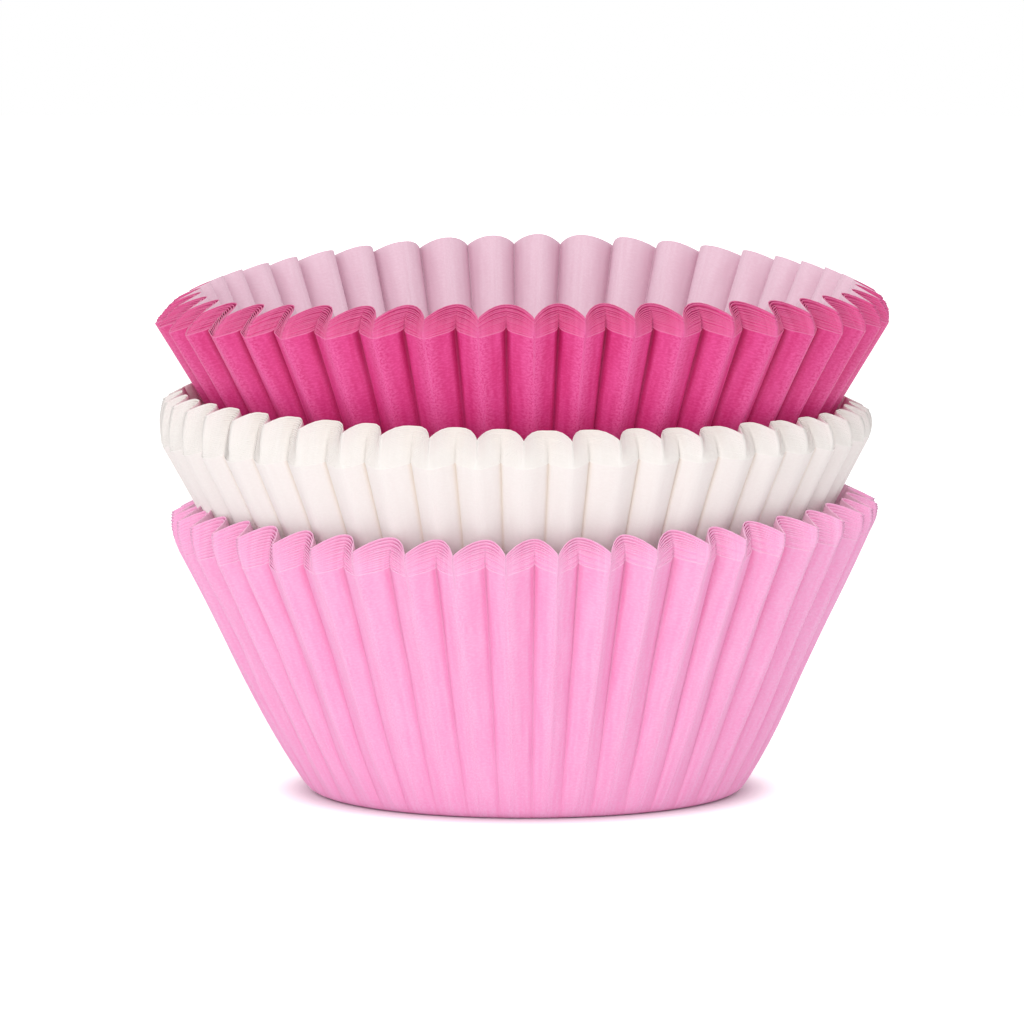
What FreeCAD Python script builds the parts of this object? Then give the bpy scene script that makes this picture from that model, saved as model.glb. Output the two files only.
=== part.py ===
import FreeCAD, Part
import math
import os

# A stack of pleated paper cupcake liners in three colours. Each liner is one flat disc of
# paper, pressed so that its middle stays a flat floor and its border stands up as a wall of
# pleats. Liners of one colour nest tightly. The white ones are wedged in the mouth of the
# pink ones, and the magenta ones in the mouth of the white ones.
#
# The origin is the middle of the lowest floor's underside, +Z is up, and the stack is seen
# from -Y. All lengths are millimetres and all angles are degrees.

FRONT = -90.0

doc = FreeCAD.newDocument("CupcakeLiners")
sheet = doc.addObject("Spreadsheet::Sheet", "Sizes")

SHARED_SIZES = {
    "floor_width": 50.0,
    "wall_length": 33.0,
    "mouth_width": 79.0,
    "paper_thickness": 0.06,
    "liners_a_colour": 5,
    "wedge_gap": 0.15,
}

# spread         how much wider than pressed the outermost liner's mouth has opened
# fold_depth     from an outward fold in to the next inward fold, at the mouth, outermost liner
# inner_depth    the same, innermost liner
# nest_gap       air between one liner's wall and the next
# rim_growth     how much further out each liner's mouth reaches than the one outside it
# oval           how much further out the mouth reaches at the sides than on average
# saddle         how much higher the mouth stands at front and back than on average
# rise_right     how much higher the mouth stands on the right than on average
# rise_back      how much higher the mouth stands at the back than on average
# turn           angle of the first outward fold, from the front
# shift          how far to the right the floor lies from the floor of the colour below
COLOUR_SIZES = {
    "pink": {
        "pleats": 44,
        "spread": 0.8,
        "fold_depth": 2.2,
        "inner_depth": 3.4,
        "nest_gap": 0.04,
        "rim_growth": 0.15,
        "oval": 0.1,
        "saddle": 0.1,
        "rise_right": 1.0,
        "rise_back": 0.1,
        "turn": -3.1,
    },
    "white": {
        "pleats": 48,
        "spread": 2.0,
        "fold_depth": 1.9,
        "inner_depth": 3.6,
        "nest_gap": 0.12,
        "rim_growth": 0.1,
        "oval": 0.3,
        "saddle": 0.1,
        "rise_right": 0.3,
        "rise_back": 0.1,
        "turn": 0.7,
        "shift": -0.8,
    },
    "magenta": {
        "pleats": 44,
        "spread": 3.2,
        "fold_depth": 2.3,
        "inner_depth": 3.1,
        "nest_gap": 0.09,
        "rim_growth": 0.1,
        "oval": 1.2,
        "saddle": 0.75,
        "rise_right": 0.5,
        "rise_back": 0.8,
        "turn": 1.4,
        "shift": 0.4,
    },
}


def fill_sheet():
    """Write every driving dimension to the sheet, with its name as the cell's alias."""
    named = dict(SHARED_SIZES)
    for colour, sizes in COLOUR_SIZES.items():
        for name, value in sizes.items():
            named[colour + "_" + name] = value
    for row, (name, value) in enumerate(named.items(), start=1):
        sheet.set(f"A{row}", name)
        sheet.set(f"B{row}", str(value))
        sheet.setAlias(f"B{row}", name)
    doc.recompute()


def size(name):
    """A driving dimension, read back from the sheet."""
    return float(sheet.get(name))


fill_sheet()

floor_radius = size("floor_width") / 2
wall_length = size("wall_length")
paper = size("paper_thickness")
liner_count = int(round(size("liners_a_colour")))


class Liner:
    """One liner: a flat floor, and a wall of straight folds that open towards the mouth.

    Fold lines are numbered round the wall. Even ones point outwards, odd ones inwards.
    """

    def __init__(self, colour, place, floor_height, centre):
        share = place / max(1, liner_count - 1)
        first_depth = size(colour + "_fold_depth")
        last_depth = size(colour + "_inner_depth")
        self.pleats = int(round(size(colour + "_pleats")))
        mouth_width = size("mouth_width") + size(colour + "_spread")
        self.crest = mouth_width / 2 + place * size(colour + "_rim_growth")
        self.depth = first_depth + share * (last_depth - first_depth)
        self.oval = size(colour + "_oval")
        self.saddle = size(colour + "_saddle")
        self.rise_right = size(colour + "_rise_right")
        self.rise_back = size(colour + "_rise_back")
        self.turn = math.radians(FRONT + size(colour + "_turn"))
        self.floor_height = floor_height
        self.centre = centre
        self.lean = math.asin((self.crest - floor_radius) / wall_length)
        self.fold_slope = math.atan(self.depth / (math.pi * self.crest / self.pleats))

    def angle(self, fold):
        """Direction of a fold line. On an oval mouth all the pleats keep one width."""
        even = self.turn + fold * math.pi / self.pleats
        return even - self.oval / (2 * self.crest) * math.sin(2 * even)

    def crest_radius(self, angle):
        """How far the outward folds reach at the mouth, in this direction."""
        return self.crest + self.oval * math.cos(2 * angle)

    def fold_radius(self, fold):
        """How far this fold line reaches at the mouth."""
        inward = self.depth if fold % 2 else 0.0
        return self.crest_radius(self.angle(fold)) - inward

    def mouth_height(self, radius, angle):
        """Height over the floor at which paper of one length ends, at this radius."""
        level = math.sqrt(wall_length ** 2 - (radius - floor_radius) ** 2)
        right = self.rise_right * math.cos(angle)
        back = self.rise_back * math.sin(angle)
        return level + right + back - self.saddle * math.cos(2 * angle)

    def wall_reach(self):
        """The paper's thickness, measured towards the axis at the mouth."""
        return paper / (math.cos(self.lean) * math.cos(self.fold_slope))

    def floor_reach(self):
        """How far the wall's inner face meets the floor inside its outer edge."""
        return paper * (1 - math.sin(self.lean)) / math.cos(self.lean)


def nest_step(colour):
    """Height from one liner's floor to the next, so that their walls keep the nest gap."""
    outermost = Liner(colour, 0, 0.0, 0.0)
    spacing = paper + size(colour + "_nest_gap")
    spread = size(colour + "_rim_growth") * math.cos(outermost.lean)
    return (spacing + spread) / (math.sin(outermost.lean) * math.cos(outermost.fold_slope))


def wedge_height(lower, colour, centre):
    """Floor height of the next colour, where its folds come to rest in the mouth below.

    The outward folds of the upper wall clear each inward fold of the lower mouth by the
    wedge gap, and the tightest of them sets the height. In a wide mouth the upper liner
    sinks until it stands on the lower one's floor.
    """
    upper = Liner(colour, 0, 0.0, centre)
    heights = [lower.floor_height + paper + size("wedge_gap")]
    for fold in range(1, 2 * lower.pleats, 2):
        angle = lower.angle(fold)
        inner_face = lower.fold_radius(fold) - lower.wall_reach()
        mouth = lower.floor_height + lower.mouth_height(lower.fold_radius(fold), angle)
        aside = (upper.centre - lower.centre) * math.cos(angle)
        room = inner_face - size("wedge_gap") - aside - floor_radius
        reach = upper.crest_radius(angle)
        slope = upper.mouth_height(reach, angle) / (reach - floor_radius)
        heights.append(mouth - room * slope)
    return max(heights)


def ring(liner, radii, heights):
    """One point for each fold line, at the radii and heights given."""
    points = []
    for fold, (radius, height) in enumerate(zip(radii, heights)):
        angle = liner.angle(fold)
        points.append(FreeCAD.Vector(radius * math.cos(angle), radius * math.sin(angle), height))
    return points


def flat_face(points):
    """A flat face with these corners."""
    return Part.Face(Part.makePolygon(points + points[:1]))


def band(lower, upper):
    """Two triangles between each pair of fold lines, from one ring of points to the next."""
    faces = []
    for here in range(len(lower)):
        ahead = (here + 1) % len(lower)
        faces.append(flat_face([lower[here], lower[ahead], upper[here]]))
        faces.append(flat_face([lower[ahead], upper[ahead], upper[here]]))
    return faces


def liner_solid(liner):
    """The folded sheet, with its paper's thickness, as one closed solid on its own floor."""
    folds = range(2 * liner.pleats)
    mouth_radii = [liner.fold_radius(fold) for fold in folds]
    mouth_heights = [liner.mouth_height(liner.fold_radius(fold), liner.angle(fold)) for fold in folds]
    inner_radii = [radius - liner.wall_reach() for radius in mouth_radii]
    inner_floor = floor_radius - liner.floor_reach()

    floor_under = ring(liner, [floor_radius for fold in folds], [0.0 for fold in folds])
    mouth_outside = ring(liner, mouth_radii, mouth_heights)
    mouth_inside = ring(liner, inner_radii, mouth_heights)
    floor_over = ring(liner, [inner_floor for fold in folds], [paper for fold in folds])

    faces = [flat_face(floor_under)]
    faces += band(floor_under, mouth_outside)
    faces += band(mouth_outside, mouth_inside)
    faces += band(floor_over, mouth_inside)
    faces.append(flat_face(floor_over))
    shell = Part.makeShell(faces)
    shell.sewShape()
    solid = Part.makeSolid(shell)
    if solid.Volume < 0:
        solid.reverse()
    return solid


def add_liner(colour, place, liner):
    """Add one liner to the document, with its name and its place in the stack."""
    feature = doc.addObject("Part::Feature", f"{colour}_liner_{place + 1}")
    feature.Label = f"{colour}_liner_{place + 1}"
    feature.Shape = liner_solid(liner)
    spot = FreeCAD.Vector(liner.centre, 0.0, liner.floor_height)
    feature.Placement = FreeCAD.Placement(spot, FreeCAD.Rotation())
    return feature


def add_colour(colour, floor_height, centre):
    """Add the nested liners of one colour, outermost first, and return the innermost."""
    step = nest_step(colour)
    for place in range(liner_count):
        liner = Liner(colour, place, floor_height + place * step, centre)
        features.append(add_liner(colour, place, liner))
    print(f"{colour}: floors from {floor_height:.2f} mm, {step:.3f} mm apart")
    return liner


features = []
innermost = None
for colour in COLOUR_SIZES:
    if innermost is None:
        innermost = add_colour(colour, 0.0, 0.0)
    else:
        centre = innermost.centre + size(colour + "_shift")
        innermost = add_colour(colour, wedge_height(innermost, colour, centre), centre)

doc.recompute()

for thing in doc.Objects:
    if "Invalid" in thing.State or "Error" in thing.State:
        raise RuntimeError(thing.Label + " failed to build")
for feature in features:
    if feature.Shape.isNull() or not feature.Shape.isValid():
        raise RuntimeError(feature.Label + " has no sound shape")

os.makedirs("parts", exist_ok=True)
for feature in features:
    feature.Shape.exportStep("parts/" + feature.Label + ".step")

whole = Part.makeCompound([feature.Shape for feature in features]).BoundBox
print(f"stack: {whole.XLength:.1f} x {whole.YLength:.1f} x {whole.ZLength:.1f} mm, {len(features)} liners")
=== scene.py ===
# %% [markdown]
# # A stack of pleated cupcake liners
#
# A cupcake liner is one disc of thin paper. A press keeps its middle flat, as a floor, and
# folds the border up into a wall of pleats. Liners are sold tightly nested, so a pile of them
# shows one whole wall, and above it a narrow band of cut edges. Here three such piles stand
# mouth in mouth: light pink below, white in the middle and magenta on top.
#
# The solids of the stack are loaded first. They fix where every liner stands, and nothing
# below moves them.

# %% Load the frame
import math
import random

import bmesh
import bpy
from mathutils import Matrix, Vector, noise


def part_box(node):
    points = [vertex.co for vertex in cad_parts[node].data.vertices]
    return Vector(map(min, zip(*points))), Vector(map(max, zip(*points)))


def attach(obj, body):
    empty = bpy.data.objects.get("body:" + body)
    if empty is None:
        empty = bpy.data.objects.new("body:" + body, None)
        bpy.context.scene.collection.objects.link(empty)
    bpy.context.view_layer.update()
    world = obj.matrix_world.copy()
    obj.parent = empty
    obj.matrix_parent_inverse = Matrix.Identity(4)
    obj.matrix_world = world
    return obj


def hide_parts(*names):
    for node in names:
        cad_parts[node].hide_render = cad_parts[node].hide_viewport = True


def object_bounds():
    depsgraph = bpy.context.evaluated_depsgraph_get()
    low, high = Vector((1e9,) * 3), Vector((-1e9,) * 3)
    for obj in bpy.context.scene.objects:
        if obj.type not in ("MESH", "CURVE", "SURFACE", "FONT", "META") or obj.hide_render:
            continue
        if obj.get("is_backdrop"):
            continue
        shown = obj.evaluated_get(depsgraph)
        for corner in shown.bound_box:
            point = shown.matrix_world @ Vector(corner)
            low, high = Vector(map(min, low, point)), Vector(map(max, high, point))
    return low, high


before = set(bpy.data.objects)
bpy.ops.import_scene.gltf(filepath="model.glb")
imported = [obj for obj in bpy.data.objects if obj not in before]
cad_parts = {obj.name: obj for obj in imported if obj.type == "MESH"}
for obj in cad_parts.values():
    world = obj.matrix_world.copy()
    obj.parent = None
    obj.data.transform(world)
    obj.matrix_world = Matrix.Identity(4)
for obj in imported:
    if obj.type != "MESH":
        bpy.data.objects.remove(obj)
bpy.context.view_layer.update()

print("solids:", ", ".join(sorted(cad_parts)))

# %% [markdown]
# ## Camera
#
# The picture was taken from a long way off, a little above the table: the floor of the stack
# shows as a very flat curve, and the far side of the top mouth just shows over the near one.
# A long lens does that. The camera is placed by its distance and height, and aimed at the
# point of the stack that lies in the middle of the picture.

# %% Place the camera
CAMERA_DISTANCE = 0.850
CAMERA_HEIGHT = 0.122
LENS = 260.2
PICTURE_CENTRE = Vector((-0.0016, 0.0, 0.0322))

camera_data = bpy.data.cameras.new("camera")
camera_data.lens = LENS
camera_data.sensor_width = 36.0
camera_data.clip_start = 0.01
camera = bpy.data.objects.new("camera", camera_data)
camera.location = (0.0, -CAMERA_DISTANCE, CAMERA_HEIGHT)
camera.rotation_euler = (PICTURE_CENTRE - camera.location).to_track_quat("-Z", "Y").to_euler()
bpy.context.scene.collection.objects.link(camera)
bpy.context.scene.camera = camera
print("camera looks down by", round(90 - math.degrees(camera.rotation_euler.x), 2), "degrees")

# %% [markdown]
# ## Light and table
#
# The light in the picture is broad and soft, and comes from the front, a little from the left
# and hardly from above: the leaning walls are as bright as the rims, and only the deep folds
# are dark. A bright world gives the even part of it, and one large low lamp gives the folds
# their direction. The table and the background are pure white. That white is only shown to the
# camera, through the Light Path node, so it adds no light to the paper.

# %% Light the scene
WORLD_LIGHT = 0.89
LAMP_POWER = 4.0
LAMP_PLACE = Vector((-0.21, -0.98, 0.34))
LAMP_WIDTH = 0.8

scene = bpy.context.scene
scene.view_settings.view_transform = "Standard"


def link(tree, source, target):
    """Join two sockets of a node tree."""
    tree.links.new(source, target)


def add_node(tree, kind, **settings):
    """Add a node, with its settings by name."""
    made = tree.nodes.new(kind)
    for name, value in settings.items():
        setattr(made, name, value)
    return made


def seen_by_camera(tree):
    """A value that is 1 where the camera, a reflection or a clear surface looks, and 0 for light."""
    path = add_node(tree, "ShaderNodeLightPath")
    first = add_node(tree, "ShaderNodeMath", operation="MAXIMUM")
    link(tree, path.outputs["Is Camera Ray"], first.inputs[0])
    link(tree, path.outputs["Is Glossy Ray"], first.inputs[1])
    both = add_node(tree, "ShaderNodeMath", operation="MAXIMUM")
    link(tree, first.outputs[0], both.inputs[0])
    link(tree, path.outputs["Is Transmission Ray"], both.inputs[1])
    return both.outputs[0]


world = bpy.data.worlds.new("studio")
world.use_nodes = True
scene.world = world
sky = world.node_tree
sky.nodes.clear()
lighting = add_node(sky, "ShaderNodeBackground")
lighting.inputs["Strength"].default_value = WORLD_LIGHT
backdrop = add_node(sky, "ShaderNodeBackground")
backdrop.inputs["Color"].default_value = (1.0, 1.0, 1.0, 1.0)
lighting.inputs["Color"].default_value = (1.0, 1.0, 1.0, 1.0)
choice = add_node(sky, "ShaderNodeMixShader")
link(sky, seen_by_camera(sky), choice.inputs[0])
link(sky, lighting.outputs[0], choice.inputs[1])
link(sky, backdrop.outputs[0], choice.inputs[2])
sky_output = add_node(sky, "ShaderNodeOutputWorld")
link(sky, choice.outputs[0], sky_output.inputs["Surface"])

lamp_data = bpy.data.lights.new("softbox", "AREA")
lamp_data.energy = LAMP_POWER
lamp_data.size = LAMP_WIDTH
lamp = bpy.data.objects.new("softbox", lamp_data)
lamp.location = LAMP_PLACE
lamp.rotation_euler = (-LAMP_PLACE).to_track_quat("-Z", "Y").to_euler()
scene.collection.objects.link(lamp)
print("one lamp and a bright world")

# %% [markdown]
# The table is one large square. Its white is part paint, which takes the shadow of the stack,
# and part glow that only the camera sees, which lifts it to pure white. The glow fades out
# towards the foot of the stack, so a narrow ring of table round the foot is greyer than the
# rest: painted shade, over the real contact shadow that keeps the thin dark line where paper
# meets table.

# %% Lay the table
TABLE_HALF = 1.5
TABLE_WHITE = 0.88
TABLE_GLOW = 0.60
FOOT_GLOW = 0.0
FOOT_RADIUS = 0.0245
FOOT_EDGE = 0.0310

table_paint = bpy.data.materials.new("white_table")
table_paint.use_nodes = True
tree = table_paint.node_tree
tree.nodes.clear()
paint = add_node(tree, "ShaderNodeBsdfDiffuse")
paint.inputs["Color"].default_value = (TABLE_WHITE, TABLE_WHITE, TABLE_WHITE, 1.0)
glow = add_node(tree, "ShaderNodeEmission")
place = add_node(tree, "ShaderNodeTexCoord")
distance = add_node(tree, "ShaderNodeVectorMath", operation="LENGTH")
link(tree, place.outputs["Object"], distance.inputs[0])
# Painted shade: the glow fades out near the foot, so the table there stays greyer than elsewhere.
fade = add_node(tree, "ShaderNodeMapRange", interpolation_type="SMOOTHSTEP")
fade.inputs["From Min"].default_value = FOOT_RADIUS
fade.inputs["From Max"].default_value = FOOT_EDGE
fade.inputs["To Min"].default_value = FOOT_GLOW
fade.inputs["To Max"].default_value = TABLE_GLOW
link(tree, distance.outputs["Value"], fade.inputs["Value"])
glow_level = add_node(tree, "ShaderNodeMath", operation="MULTIPLY")
link(tree, seen_by_camera(tree), glow_level.inputs[0])
link(tree, fade.outputs["Result"], glow_level.inputs[1])
link(tree, glow_level.outputs[0], glow.inputs["Strength"])
both = add_node(tree, "ShaderNodeAddShader")
link(tree, paint.outputs[0], both.inputs[0])
link(tree, glow.outputs[0], both.inputs[1])
output = add_node(tree, "ShaderNodeOutputMaterial")
link(tree, both.outputs[0], output.inputs["Surface"])

bm = bmesh.new()
bmesh.ops.create_grid(bm, x_segments=1, y_segments=1, size=TABLE_HALF)
table_mesh = bpy.data.meshes.new("table")
bm.to_mesh(table_mesh)
bm.free()
table_mesh.materials.append(table_paint)
table = bpy.data.objects.new("table", table_mesh)
scene.collection.objects.link(table)
table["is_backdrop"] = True
print("table", 2 * TABLE_HALF, "m square")

# %% [markdown]
# ## The liners' sizes
#
# All liners are pressed from the same disc: 50 mm of floor and 33 mm of wall all round. The
# colours differ in how many pleats the press made and in how far each pile has opened. The
# five solids of a colour are evenly spaced through its pile, and more liners go between each
# neighbouring pair: two of pink and three of magenta, whose edges can just be made out in the
# picture, and five of white, whose edges lie so close that they look like one smooth surface.

# %% Sizes in millimetres
MM = 0.001
FLOOR_RADIUS = 25.0
WALL_LENGTH = 33.0
SOLIDS_A_COLOUR = 5
FRONT = math.radians(-90.0)


class Pile:
    """The liners of one colour: how they are pleated, and where the pile stands."""

    def __init__(self, colour, pleats, between, mouth, opening, outer_depth, inner_depth, turn, seed):
        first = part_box(colour + "_liner_1")
        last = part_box(f"{colour}_liner_{SOLIDS_A_COLOUR}")
        self.colour = colour
        self.pleats = pleats
        self.step = between + 1
        self.count = (SOLIDS_A_COLOUR - 1) * self.step + 1
        self.mouth = mouth
        self.opening = opening
        self.outer_depth = outer_depth
        self.inner_depth = inner_depth
        self.turn = math.radians(turn)
        self.seed = seed
        self.cut_line = 0.1
        self.crest_round = 0.2
        self.pinch = 0.0
        self.pinch_power = 4.0
        self.arch_power = 2.0
        self.centre = (first[0].x + first[1].x) / 2 / MM
        self.floor = first[0].z / MM
        self.lift = (last[0].z - first[0].z) / MM
        self.oval = (0.0, 0.0)
        self.leftward = (0.0, 0.0)
        self.tuck = 0.0
        self.paper = 0.06
        self.crinkle = 0.1
        self.trim = 0.08
        self.rise = (0.0, 0.0)
        self.rise_right = (0.0, 0.0)
        self.rise_back = (0.0, 0.0)
        self.saddle = (0.0, 0.0)


pink = Pile("pink", 44, 2, 39.9, 1.45, 2.2, 3.4, -3.1, 11)
pink.leftward = (0.2, 0.2)
pink.oval, pink.tuck, pink.paper, pink.cut_line, pink.crinkle = (0.1, 0.1), 0.6, 0.10, 0.10, 0.45
pink.rise, pink.rise_right = (0.0, 0.55), (1.0, 0.6)
pink.rise_back, pink.saddle = (0.1, 0.1), (0.1, -0.6)
pink.crest_round, pink.pinch, pink.pinch_power, pink.arch_power = 0.14, 0.25, 10.0, 2.0
white = Pile("white", 48, 5, 40.6, 0.6, 1.4, 2.4, 0.7, 5)
white.oval, white.tuck, white.paper, white.cut_line = (0.3, 0.3), 0.8, 0.06, 0.30
white.leftward, white.trim = (0.35, 0.35), 0.02
white.rise, white.rise_right = (0.0, 0.52), (0.3, -0.8)
white.rise_back, white.saddle = (0.1, 0.1), (0.1, -0.38)
white.crest_round, white.pinch, white.pinch_power, white.arch_power = 0.35, 0.25, 12.0, 3.2
magenta = Pile("magenta", 44, 3, 41.1, 0.4, 2.3, 3.1, 1.4, 23)
magenta.oval, magenta.tuck, magenta.paper, magenta.cut_line = (1.2, 0.35), 1.05, 0.11, 0.10
magenta.leftward, magenta.trim = (0.0, -0.65), 0.05
magenta.rise, magenta.rise_right = (0.45, 0.0), (0.2, 0.6)
magenta.rise_back, magenta.saddle = (1.1, 1.3), (0.55, 0.9)
magenta.crest_round, magenta.pinch, magenta.pinch_power, magenta.arch_power = 0.16, 0.35, 16.0, 2.2
for pile in (pink, white, magenta):
    print(pile.colour, "stands at", round(pile.floor, 2), "mm, in", pile.count, "liners")

# %% [markdown]
# ## Uneven pleats
#
# A press folds dry paper, and no two pleats come out alike: folds wander a little to the side,
# and some reach further out or in. The whole pile is pressed at once, so its liners share the
# same uneven pleats. Each fold line therefore gets its own small, fixed random shift, once for
# a pile. A fixed seed gives the same pile each time the script runs.

# %% Fold lines of a pile
SIDEWAYS = 0.14
CREST_REACH = 0.07
VALLEY_REACH = (-0.1, 0.3)


def fold_lines(pile):
    """The direction of each fold line, and how far it lies out of its place, in millimetres."""
    chance = random.Random(pile.seed)
    pitch = math.pi / pile.pleats
    lines = []
    for fold in range(2 * pile.pleats):
        even = FRONT + pile.turn + fold * pitch
        angle = even - pile.oval[0] / (2 * pile.mouth) * math.sin(2 * even)
        angle += chance.uniform(-SIDEWAYS, SIDEWAYS) * pitch
        if fold % 2:
            reach = chance.uniform(*VALLEY_REACH)
        else:
            reach = chance.uniform(-CREST_REACH, CREST_REACH)
        lines.append((angle, reach))
    return lines


for pile in (pink, white, magenta):
    pile.folds = fold_lines(pile)
print("fold lines:", [len(pile.folds) for pile in (pink, white, magenta)])

# %% [markdown]
# ## The shape of one pleat
#
# Seen from above, the outermost liner's pleat is a soft V: the outward fold is rounded, and the
# panels get steeper towards the inward fold, which is pinched to a crease. Each liner further
# in has to go round the folds of those outside it. Its inward folds get broad and round, and
# its outward folds sharp, so that the innermost mouth is a row of arches with narrow notches.
# The code below mixes the two profiles by the liner's place in its pile.

# %% Fold profile
CREST_TO_VALLEY = (0.0, 0.07, 0.18, 0.36, 0.60, 0.80, 0.92)
VALLEY_TO_CREST = (1.0, 0.92, 0.80, 0.60, 0.36, 0.18, 0.07)
MIXING = 0.8


def pinched_v(share, pile):
    """Outermost profile: depth at this share of the way from crest to valley, both 0 to 1."""
    if share < pile.crest_round:
        straight = share * share / (2 * pile.crest_round)
    else:
        straight = share - pile.crest_round / 2
    straight /= 1 - pile.crest_round / 2
    return (1 - pile.pinch) * straight + pile.pinch * share ** pile.pinch_power


def arch(share, pile):
    """Innermost profile: sharp at the crest and round at the valley."""
    return 1 - (1 - share) ** pile.arch_power


def fold_depth(share, inwardness, pile):
    """Profile of a liner between the two, by how far in it lies, 0 to 1."""
    outermost = pinched_v(share, pile)
    return outermost + inwardness ** MIXING * (arch(share, pile) - outermost)


for inwardness in (0.0, 0.5, 1.0):
    depths = [round(fold_depth(share, inwardness, magenta), 2) for share in CREST_TO_VALLEY]
    print("inwardness", inwardness, "depths", depths)

# %% [markdown]
# ## The wall
#
# Each liner ends where its paper ends. On the way out from the floor to the mouth a crest leans
# further than a valley, and both use the same length of paper, so the valleys reach higher.
# That gives the mouth its row of rounded humps. The height comes from the right-angled triangle
# of paper length and reach, so the humps need no drawing.

# %% Mouth of one liner
SWELL = 0.4
CUT_WANDER = 1.2
CUT_SCALE = 0.22


def between(ends, share):
    """A value part of the way from the outermost liner's to the innermost one's."""
    return ends[0] + share * (ends[1] - ends[0])


class Column:
    """One upright line of a liner's mesh: where it points, how far it reaches, how it ends."""

    def __init__(self, liner, angle, crest, inward, fold):
        self.swell = SWELL * (1 - liner.inwardness)
        self.outward = Vector((math.cos(angle), math.sin(angle), 0))
        self.angle = angle
        self.crest = crest
        self.inward = inward
        self.fold = fold
        self.height = liner.height(crest - inward, angle)
        self.cut = liner.cut(angle)


class Liner:
    """One liner of a pile, from the outermost, place 0, to the innermost."""

    def __init__(self, pile, place):
        share = place / (pile.count - 1)
        chance = random.Random(pile.seed * 100 + place)
        self.pile = pile
        self.place = place
        self.inwardness = share
        self.floor = pile.floor + share * pile.lift
        self.mouth = pile.mouth + share * pile.opening - share ** 3 * pile.tuck
        self.depth = pile.outer_depth + share * (pile.inner_depth - pile.outer_depth)
        self.oval = between(pile.oval, share)
        self.leftward = between(pile.leftward, share)
        self.rise = between(pile.rise, share)
        self.rise_right = between(pile.rise_right, share)
        self.rise_back = between(pile.rise_back, share)
        self.saddle = between(pile.saddle, share)
        self.lean_x = chance.uniform(-pile.trim, pile.trim)
        self.lean_y = chance.uniform(-pile.trim, pile.trim)
        self.edge_seed = Vector((chance.uniform(0, 50), chance.uniform(0, 50), 0))

    def columns(self):
        """The upright lines of the mesh, round the liner."""
        pile = self.pile
        found = []
        for fold in range(2 * pile.pleats):
            angle, reach = pile.folds[fold]
            next_angle, next_reach = pile.folds[(fold + 1) % len(pile.folds)]
            if next_angle < angle:
                next_angle += 2 * math.pi
            for share in (VALLEY_TO_CREST if fold % 2 else CREST_TO_VALLEY):
                step = 1 - share if fold % 2 else share
                fold_share = fold_depth(share, self.inwardness, pile)
                here = angle + step * (next_angle - angle)
                crest = self.mouth + self.oval * math.cos(2 * here) - self.leftward * math.cos(here)
                inward = fold_share * self.depth - reach - step * (next_reach - reach)
                found.append(Column(self, here, crest, inward, fold_share))
        return found

    def height(self, radius, angle):
        """Height over the floor at which the paper ends."""
        level = math.sqrt(WALL_LENGTH ** 2 - (radius - FLOOR_RADIUS) ** 2)
        lean = self.rise_right * math.cos(angle) + self.rise_back * math.sin(angle)
        return level + self.rise + lean - self.saddle * math.cos(2 * angle)

    def cut(self, angle):
        """Share of the wall's length at which the disc was cut: never quite on centre."""
        around = Vector((math.cos(angle), math.sin(angle), 0)) * CUT_SCALE * self.mouth
        wander = CUT_WANDER * self.pile.trim * noise.noise(around + self.edge_seed)
        lean = self.lean_x * math.cos(angle) + self.lean_y * math.sin(angle)
        return 1 + (wander + lean) / WALL_LENGTH


sample = Liner(pink, 0)
print("columns of mesh round one pink liner:", len(sample.columns()))

# %% [markdown]
# ## Building a liner
#
# A liner's mesh is made the way the press makes the real one. It starts as a flat disc with one
# corner for each upright line of the wall. Its edge is then extruded again and again, and each
# new ring of corners is moved to its place: first round the small curve where floor and wall
# meet, then up along the folds. The wall also swells a little just above the floor. A Solidify
# modifier gives the sheet its paper thickness inwards, with one material for the printed side,
# one for the plain side and one for the cut edge.

# %% Ring positions
CORNER = 1.5
SHOWN_CORNER = (0.25, 0.5, 0.75, 1.0)
HIDDEN_CORNER = (1.0,)
SHOWN_WALL = tuple(ring / 14 for ring in range(1, 14))
HIDDEN_WALL = (0.3, 0.65)
FOLD_START = 0.65
SWELL_PEAK = 0.25 * 0.75 ** 3
CUT_LINE = 0.16


def wall_point(column, along):
    """A point of the wall, along it from the floor's corner, 0, to the mouth, 1."""
    swell = column.swell * along * max(0.0, 1 - along) ** 3 / SWELL_PEAK
    reach = FLOOR_RADIUS + (column.crest - FLOOR_RADIUS) * along + swell
    reach -= column.inward * along ** FOLD_START
    return column.outward * reach + Vector((0, 0, column.height * along))


def corner_point(column, share):
    """A point of the small curve from floor to wall, 0 to 1, by a curve with three handles."""
    start = column.outward * (FLOOR_RADIUS - CORNER)
    middle = column.outward * FLOOR_RADIUS
    end = wall_point(column, CORNER / WALL_LENGTH)
    return start * (1 - share) ** 2 + middle * 2 * share * (1 - share) + end * share ** 2


def is_shown(liner):
    """Whether one side of the liner's wall can be seen: outside, or inside the top mouth."""
    innermost = liner.place == liner.pile.count - 1
    return liner.place == 0 or (innermost and liner.pile is magenta)


def crinkle(liner, column, along):
    """Small dents of a wall that shows, always away from its neighbour."""
    if not is_shown(liner):
        return 0.0
    side = 1 if liner.place == 0 else -1
    around = column.angle * FLOOR_RADIUS
    spot = Vector((around * 0.6, along * 2.2, liner.pile.seed))
    dent = max(0.0, noise.noise(spot) + 0.35)
    return side * liner.pile.crinkle * along * (1 - along) * 4 * dent


def wall_shares(liner):
    """How far up the wall each ring lies, with one ring just under the cut edge."""
    cut_line = CUT_LINE if liner.place == 0 else liner.pile.cut_line
    shares = SHOWN_WALL if is_shown(liner) else HIDDEN_WALL
    return shares + (1 - cut_line / (WALL_LENGTH - CORNER), 1.0)


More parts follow.
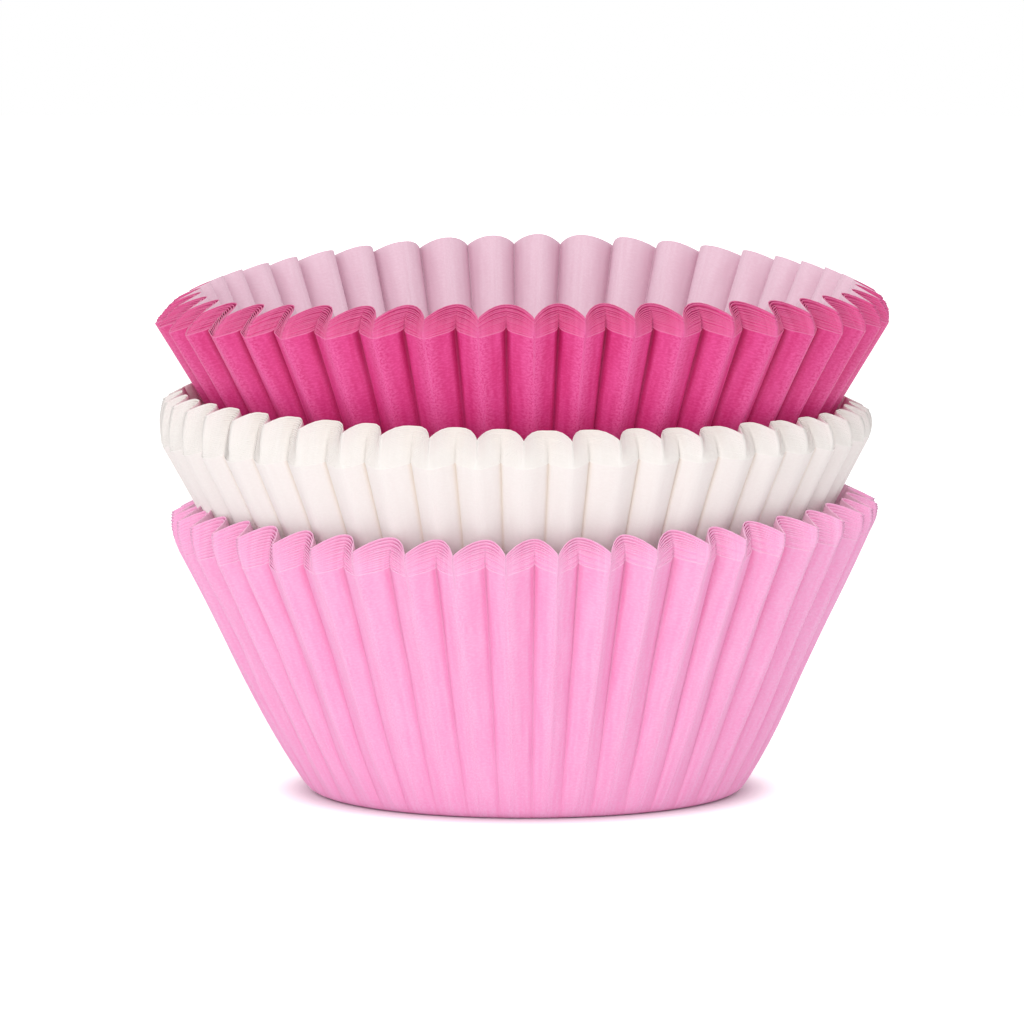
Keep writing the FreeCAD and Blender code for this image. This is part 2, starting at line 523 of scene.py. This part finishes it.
def ring_points(liner, columns):
    """Every ring of the mesh above the floor, each with its distance along the paper."""
    rings = []
    for share in SHOWN_CORNER if is_shown(liner) else HIDDEN_CORNER:
        points = [corner_point(column, share) for column in columns]
        rings.append((CORNER * share, points))
    start = CORNER / WALL_LENGTH
    for share in wall_shares(liner):
        points = []
        for column in columns:
            along = start + (column.cut - start) * share
            points.append(wall_point(column, along) + column.outward * crinkle(liner, column, along))
        rings.append((CORNER + (WALL_LENGTH - CORNER) * share, points))
    return rings


# %% Mesh of one liner
SHADED_WALL = 0.15
INNER_EDGE = 0.5


def liner_mesh(liner, name):
    """The folded sheet of one liner, printed side outwards, with its paper's own coordinates."""
    columns = liner.columns()
    spot = Vector((liner.pile.centre, 0, liner.floor))
    bm = bmesh.new()
    column_of = bm.verts.layers.int.new("column")
    fold_of = bm.verts.layers.float.new("fold")
    along_of = bm.verts.layers.float.new("along")
    edge_of = bm.verts.layers.float.new("edge")
    bmesh.ops.create_circle(bm, cap_ends=True, segments=len(columns), radius=1.0)
    bm.verts.ensure_lookup_table()
    for number, vert in enumerate(bm.verts):
        vert[column_of] = number
        vert.co = (columns[number].outward * (FLOOR_RADIUS - CORNER) + spot) * MM
    edges = bm.edges[:]
    wall, edge = (0.0, 1.0) if liner.place == 0 else (SHADED_WALL, INNER_EDGE)
    for along, points in ring_points(liner, columns):
        grown = bmesh.ops.extrude_edge_only(bm, edges=edges)["geom"]
        edges = [part for part in grown if isinstance(part, bmesh.types.BMEdge) and part.is_boundary]
        for vert in (part for part in grown if isinstance(part, bmesh.types.BMVert)):
            vert.co = (points[vert[column_of]] + spot) * MM
            vert[fold_of] = columns[vert[column_of]].fold
            vert[along_of] = along
            vert[edge_of] = edge if along == WALL_LENGTH else wall
    bmesh.ops.recalc_face_normals(bm, faces=bm.faces[:])
    floor = max(bm.faces, key=lambda face: len(face.verts))
    if floor.normal.z > 0:
        bmesh.ops.reverse_faces(bm, faces=bm.faces[:])
    lay_paper_map(bm, columns, column_of, along_of)
    mesh = bpy.data.meshes.new(name)
    bm.to_mesh(mesh)
    bm.free()
    for polygon in mesh.polygons:
        polygon.use_smooth = True
    return mesh


def lay_paper_map(bm, columns, column_of, along_of):
    """A UV map in centimetres of paper: round the liner, and out from the floor's edge."""
    paper_map = bm.loops.layers.uv.new("paper")
    girth = 2 * math.pi * FLOOR_RADIUS * 1.3 / 10
    last = len(columns) - 1
    for face in bm.faces:
        numbers = [vert[column_of] for vert in face.verts]
        if len(numbers) > 4:
            for loop in face.loops:
                loop[paper_map].uv = (loop.vert.co.x / MM / 10, loop.vert.co.y / MM / 10 - 4)
            continue
        wraps = max(numbers) == last and min(numbers) == 0
        for loop in face.loops:
            number = loop.vert[column_of]
            if wraps and number == 0:
                number = last + 1
            loop[paper_map].uv = (girth * number / (last + 1), loop.vert[along_of] / 10)


# %% [markdown]
# ## Paper
#
# The printed side is matt and slightly mottled: ink sinks into the fibres unevenly, and pressing
# leaves fine upright streaks. Each crest is painted lighter, as a painted highlight, and each
# valley darker, as painted shade that is strongest towards the mouth. The plain side is pale and
# only tinted by the ink behind it; inside the magenta mouth its crests are painted darker, as
# painted shade. The cut edge shows the paper's light core. All three read the paper's own map,
# so the pattern follows the folds.

# %% Paper finish
def ramp(tree, value, low, high, low_colour, high_colour):
    """Two colours with a blend between two levels of a value."""
    made = add_node(tree, "ShaderNodeValToRGB")
    made.color_ramp.elements[0].position = low
    made.color_ramp.elements[0].color = low_colour + (1.0,)
    made.color_ramp.elements[1].position = high
    made.color_ramp.elements[1].color = high_colour + (1.0,)
    link(tree, value, made.inputs["Fac"])
    return made.outputs["Color"]


def paper_noise(tree, coordinates, across, upward, detail):
    """Noise that is finer across the pleats than along them, by the two scales."""
    stretch = add_node(tree, "ShaderNodeMapping")
    stretch.inputs["Scale"].default_value = (across, upward, 1.0)
    link(tree, coordinates, stretch.inputs["Vector"])
    made = add_node(tree, "ShaderNodeTexNoise")
    made.inputs["Scale"].default_value = 1.0
    made.inputs["Detail"].default_value = detail
    made.inputs["Roughness"].default_value = 0.6
    link(tree, stretch.outputs["Vector"], made.inputs["Vector"])
    return made.outputs["Fac"]


def blend(tree, amount, first, second, mode="MIX"):
    """Mix two colours by an amount, which is a number or a socket."""
    made = add_node(tree, "ShaderNodeMix", data_type="RGBA", blend_type=mode)
    if isinstance(amount, float):
        made.inputs[0].default_value = amount
    else:
        link(tree, amount, made.inputs[0])
    link(tree, first, made.inputs[6])
    link(tree, second, made.inputs[7])
    return made.outputs[2]


def scaled(tree, value, factor):
    """A value times a number."""
    made = add_node(tree, "ShaderNodeMath", operation="MULTIPLY")
    link(tree, value, made.inputs[0])
    made.inputs[1].default_value = factor
    return made.outputs[0]


def colour_node(tree, colour):
    """A plain colour as a socket."""
    made = add_node(tree, "ShaderNodeRGB")
    made.outputs[0].default_value = colour + (1.0,)
    return made.outputs[0]


def product(tree, first, second):
    """Two values multiplied."""
    made = add_node(tree, "ShaderNodeMath", operation="MULTIPLY")
    link(tree, first, made.inputs[0])
    link(tree, second, made.inputs[1])
    return made.outputs[0]


BLACK = (0.0, 0.0, 0.0)
FAINT = (0.3, 0.3, 0.3)
HALF = (0.5, 0.5, 0.5)
STRONG = (0.8, 0.8, 0.8)
FULL = (1.0, 1.0, 1.0)


def paper_colour(tree, look, fibres, lines):
    """Mottled ink, painted highlight on crests, painted shade in valleys, light cut edge, one over the
    other.
    """
    paper_map = add_node(tree, "ShaderNodeUVMap", uv_map="paper").outputs["UV"]
    clouds = paper_noise(tree, paper_map, 5.0, 2.0, 3.0)
    colour = ramp(tree, fibres, 0.44, 0.64, look["ink"], look["mottle"])
    colour = blend(tree, 0.50, colour, ramp(tree, lines, 0.38, 0.62, look["ink"], look["mottle"]))
    colour = blend(tree, 0.20, colour, ramp(tree, clouds, 0.30, 0.70, look["ink"], look["mottle"]))
    fold = add_node(tree, "ShaderNodeAttribute", attribute_name="fold").outputs["Fac"]
    # Painted highlight on the crests, broken up by the fibres; a darker crest colour, as on the
    # magenta plain side, makes it painted shade.
    patchy = ramp(tree, fibres, 0.30, 0.62, BLACK, FULL)
    crest = product(tree, ramp(tree, fold, 0.0, look["crest_width"], FULL, BLACK), patchy)
    colour = blend(tree, scaled(tree, crest, look["rubbed"]), colour, colour_node(tree, look["worn"]))
    # Painted shade in the valleys: full near the mouth, fainter down the wall, and fainter at cut
    # edges and on the inner liners.
    along = add_node(tree, "ShaderNodeAttribute", attribute_name="along").outputs["Fac"]
    upward = ramp(tree, scaled(tree, along, 1 / WALL_LENGTH), 0.60, 0.97, look["low"], FULL)
    edge = add_node(tree, "ShaderNodeAttribute", attribute_name="edge").outputs["Fac"]
    valley = product(tree, ramp(tree, fold, *look["deep_from"], BLACK, FULL), upward)
    valley = product(tree, valley, ramp(tree, edge, 0.0, 0.2, FULL, FAINT))
    colour = blend(tree, scaled(tree, valley, look["sunk"]), colour, colour_node(tree, look["deep"]))
    return blend(tree, scaled(tree, edge, look["cut_shows"]), colour, colour_node(tree, look["cut"]))


def paper_material(name, crest_width=0.3, deep_from=(0.58, 0.88), low=HALF, creases=0.5, **look):
    """Matt paper: painted highlight and shade from the folds, and bump from fibres and soft creases.
    """
    look["crest_width"] = crest_width
    look["deep_from"] = deep_from
    look["low"] = low
    material = bpy.data.materials.new(name)
    material.use_nodes = True
    tree = material.node_tree
    tree.nodes.clear()
    paper_map = add_node(tree, "ShaderNodeUVMap", uv_map="paper").outputs["UV"]
    fibres = paper_noise(tree, paper_map, 42.0, 40.0, 2.0)
    lines = paper_noise(tree, paper_map, 22.0, 1.2, 2.0)
    soft_creases = paper_noise(tree, paper_map, 7.0, 0.9, 1.0)
    shader = add_node(tree, "ShaderNodeBsdfPrincipled")
    shader.inputs["Roughness"].default_value = look["roughness"]
    shader.inputs["Specular IOR Level"].default_value = look["specular"]
    link(tree, paper_colour(tree, look, fibres, lines), shader.inputs["Base Color"])
    surface = add_node(tree, "ShaderNodeMath", operation="ADD")
    link(tree, fibres, surface.inputs[0])
    link(tree, lines, surface.inputs[1])
    height = add_node(tree, "ShaderNodeMath", operation="MULTIPLY_ADD")
    link(tree, soft_creases, height.inputs[0])
    height.inputs[1].default_value = creases
    link(tree, surface.outputs[0], height.inputs[2])
    bump = add_node(tree, "ShaderNodeBump")
    bump.inputs["Strength"].default_value = 0.4
    bump.inputs["Distance"].default_value = look["relief"] * MM
    link(tree, height.outputs[0], bump.inputs["Height"])
    link(tree, bump.outputs["Normal"], shader.inputs["Normal"])
    output = add_node(tree, "ShaderNodeOutputMaterial")
    link(tree, shader.outputs[0], output.inputs["Surface"])
    return material


# %% Printed sides
# On the printed sides the crest colour is a painted highlight and the valley colour painted shade.
PRINTED = {
    "pink": paper_material(
        "pink_print", ink=(0.92, 0.35, 0.62), mottle=(0.94, 0.48, 0.73), worn=(0.95, 0.55, 0.79),
        deep=(0.88, 0.22, 0.45), cut=(0.96, 0.62, 0.80), rubbed=0.4, sunk=0.4, cut_shows=0.6,
        relief=0.10, creases=7.0, roughness=0.55, specular=0.3),
    "white": paper_material(
        "white_print", ink=(0.87, 0.82, 0.79), mottle=(0.90, 0.86, 0.83), worn=(0.91, 0.87, 0.84),
        deep=(0.84, 0.70, 0.57), cut=(0.92, 0.88, 0.85), rubbed=0.3, sunk=0.6, cut_shows=0.4,
        deep_from=(0.70, 0.96), low=STRONG, relief=0.05, roughness=0.55, specular=0.3),
    "magenta": paper_material(
        "magenta_print", ink=(0.64, 0.026, 0.185), mottle=(0.79, 0.078, 0.31), worn=(0.86, 0.16, 0.42),
        deep=(0.40, 0.002, 0.075), cut=(0.84, 0.26, 0.48), rubbed=0.6, sunk=0.85, cut_shows=0.7,
        deep_from=(0.50, 0.74), low=FAINT, relief=0.05, roughness=0.5, specular=0.35),
}

# %% Plain sides and cut edges
# On the plain sides the valley colour is painted shade and the crest colour a painted highlight, but
# on the magenta inner wall a painted shade.
PLAIN = {
    "pink": paper_material(
        "pink_plain", ink=(0.93, 0.48, 0.68), mottle=(0.95, 0.58, 0.76), worn=(0.95, 0.60, 0.78),
        deep=(0.90, 0.40, 0.60), cut=(0.97, 0.62, 0.80), rubbed=0.2, sunk=0.2, cut_shows=0.5,
        relief=0.05, roughness=0.7, specular=0.2),
    "white": paper_material(
        "white_plain", ink=(0.88, 0.84, 0.80), mottle=(0.92, 0.89, 0.86), worn=(0.92, 0.89, 0.86),
        deep=(0.84, 0.76, 0.68), cut=(0.93, 0.91, 0.88), rubbed=0.2, sunk=0.2, cut_shows=0.5,
        relief=0.05, roughness=0.7, specular=0.2),
    "magenta": paper_material(
        "magenta_plain", ink=(0.77, 0.555, 0.645), mottle=(0.85, 0.67, 0.755), worn=(0.62, 0.38, 0.48),
        deep=(0.86, 0.62, 0.72), cut=(0.80, 0.34, 0.50), rubbed=0.5, sunk=0.4, cut_shows=0.7,
        crest_width=0.85, relief=0.07, creases=1.5, roughness=0.7, specular=0.2),
}
# On the cut edges the crest colour is a painted highlight and the valley colour painted shade too.
EDGE = {
    "pink": paper_material(
        "pink_edge", ink=(0.95, 0.44, 0.68), mottle=(0.97, 0.56, 0.77), worn=(0.97, 0.56, 0.77),
        deep=(0.95, 0.40, 0.64), cut=(0.97, 0.60, 0.79), rubbed=0.2, sunk=0.2, cut_shows=0.5,
        relief=0.05, roughness=0.7, specular=0.2),
    "white": paper_material(
        "white_edge", ink=(0.88, 0.84, 0.80), mottle=(0.90, 0.87, 0.84), worn=(0.90, 0.87, 0.84),
        deep=(0.87, 0.82, 0.78), cut=(0.91, 0.88, 0.85), rubbed=0.2, sunk=0.2, cut_shows=0.5,
        relief=0.05, roughness=0.7, specular=0.2),
    "magenta": paper_material(
        "magenta_edge", ink=(0.70, 0.10, 0.26), mottle=(0.78, 0.20, 0.38), worn=(0.78, 0.20, 0.38),
        deep=(0.62, 0.06, 0.20), cut=(0.78, 0.20, 0.38), rubbed=0.2, sunk=0.2, cut_shows=0.5,
        relief=0.05, roughness=0.7, specular=0.2),
}
print("papers:", len(PRINTED) + len(PLAIN) + len(EDGE))


# %% [markdown]
# ## Filling the piles
#
# Every liner is its own object. Those at the places of the solids stand for them, and the rest
# ride along with the stack.

# %% Make every liner
def add_liner(pile, place):
    """Make one liner of a pile and tie it to the frame."""
    name = f"{pile.colour}_sheet_{place + 1:02d}"
    mesh = liner_mesh(Liner(pile, place), name)
    for papers in (PRINTED, PLAIN, EDGE):
        mesh.materials.append(papers[pile.colour])
    piece = bpy.data.objects.new(name, mesh)
    scene.collection.objects.link(piece)
    thickness = piece.modifiers.new("paper", "SOLIDIFY")
    thickness.thickness = pile.paper * MM
    thickness.offset = -1.0
    thickness.material_offset = 1
    thickness.material_offset_rim = 2
    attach(piece, "root")
    if place % pile.step == 0:
        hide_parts(f"{pile.colour}_liner_{place // pile.step + 1}")
    return piece


for pile in (pink, white, magenta):
    made = [add_liner(pile, place) for place in range(pile.count)]
    corners = sum(len(piece.data.vertices) for piece in made)
    print(pile.colour, "pile:", len(made), "liners,", corners, "mesh corners")

# %% [markdown]
# ## Size
#
# The finished stack has to fill the same space as its solids, so its box is printed.

# %% Write the sizes
visual_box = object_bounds()
for corner in visual_box:
    print("visual box corner:", [round(value, 4) for value in corner])
